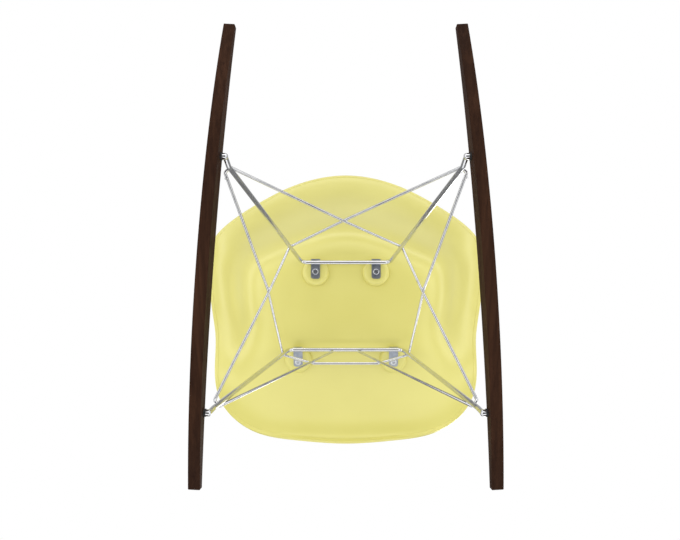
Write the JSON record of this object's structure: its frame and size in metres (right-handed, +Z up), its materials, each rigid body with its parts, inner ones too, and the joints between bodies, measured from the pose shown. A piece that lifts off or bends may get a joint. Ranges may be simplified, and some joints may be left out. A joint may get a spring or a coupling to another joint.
{
  "type": "rocking chair",
  "caption": "Moulded plastic armchair shell on a welded chrome rod and wire base that stands on two curved wooden rockers.",
  "frame": {"origin": "on the floor, under the middle of the outline seen from above, rockers at rest", "axes": "+Z up, the sitter faces -Y, +X is the sitter's left"},
  "size_m": [0.6292, 0.7174, 0.6791],
  "materials": {
    "plastic": "satin, slightly glossy moulded plastic in pale lime yellow",
    "chrome": "polished plating",
    "steel": "zinc plated, dull",
    "wood": "dark stained, satin lacquer",
    "rubber": "black, matt",
    "brass": "turned"
  },
  "bodies": {
    "root": {"seat_shell": "plastic", "front_left_insert": "brass", "front_left_bracket": "steel", "front_left_screw": "steel", "front_right_insert": "brass", "front_right_bracket": "steel", "front_right_screw": "steel", "rear_left_insert": "brass", "rear_left_bracket": "steel", "rear_left_screw": "steel", "rear_right_insert": "brass", "rear_right_bracket": "steel", "rear_right_screw": "steel", "front_leg_hoop": "chrome", "rear_leg_hoop": "chrome", "left_brace_wire": "chrome", "right_brace_wire": "chrome", "tie_wire": "chrome", "left_rocker": "wood", "right_rocker": "wood", "front_left_bolt": "steel", "front_left_spacer": "rubber", "front_left_ferrule": "chrome", "front_right_bolt": "steel", "front_right_spacer": "rubber", "front_right_ferrule": "chrome", "rear_left_bolt": "steel", "rear_left_spacer": "rubber", "rear_left_ferrule": "chrome", "rear_right_bolt": "steel", "rear_right_spacer": "rubber", "rear_right_ferrule": "chrome"}
  },
  "joints": []
}
